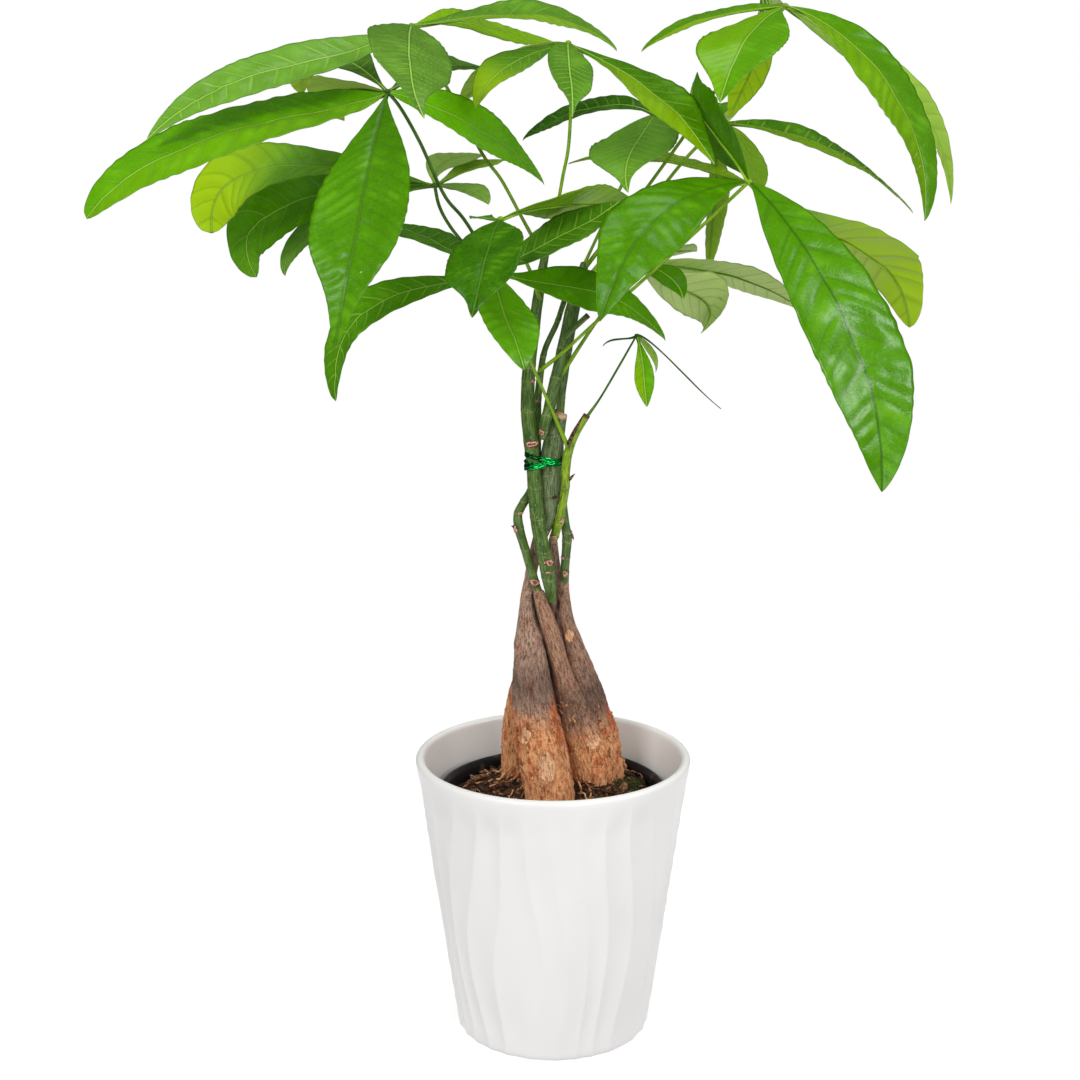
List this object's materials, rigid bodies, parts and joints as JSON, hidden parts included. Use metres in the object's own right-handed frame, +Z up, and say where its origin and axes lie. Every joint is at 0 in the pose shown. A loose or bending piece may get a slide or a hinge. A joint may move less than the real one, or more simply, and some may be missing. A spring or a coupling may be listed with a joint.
{
  "type": "potted money tree",
  "caption": "Braided money tree with palmate glossy leaves on slim stems tied together, in a nursery pot of bark soil that stands in a white fluted ceramic cover pot.",
  "frame": {"origin": "centre of the cover pot's flat base, on the surface that it stands on", "axes": "+Z up along the pot's axis, -Y towards the viewer of the plant's front, +X to the viewer's right"},
  "size_m": [0.3785, 0.2227, 0.4762],
  "materials": {
    "ceramic": "satin white glaze over stoneware",
    "black_plastic": "satin black moulded plastic",
    "soil": "matte damp bark compost",
    "bark": "matte fissured bark, grey-brown above and orange-tan at the foot",
    "stem_green": "satin green stem skin with tan scars",
    "shoot_green": "satin yellow-green young stem skin",
    "leaf_green": "glossy green leaf with light veins, paler and duller below",
    "foil": "metallic green foil over wire"
  },
  "bodies": {
    "root": {"cover_pot": "ceramic", "nursery_pot": "black_plastic", "soil": "soil", "trunk_front_left": "bark", "trunk_front_right": "bark", "trunk_back_right": "bark", "trunk_back_left": "bark", "trunk_back": "bark", "stem_main": "stem_green", "stem_cut": "stem_green", "stem_thin": "stem_green", "stem_shoot": "shoot_green", "stem_back": "stem_green", "stem_leader": "stem_green", "stalk_stub": "stem_green", "twist_tie": "foil", "leaf_upper_left": "leaf_green", "leaf_top_left": "leaf_green", "leaf_top_centre": "leaf_green", "leaf_centre_right": "leaf_green", "leaf_top_right": "leaf_green", "leaf_right": "leaf_green", "leaf_back_right": "leaf_green", "leaf_front": "leaf_green", "leaf_front_upper": "leaf_green", "leaf_left": "leaf_green", "leaf_right_lower": "leaf_green", "leaf_young": "leaf_green"}
  },
  "joints": []
}
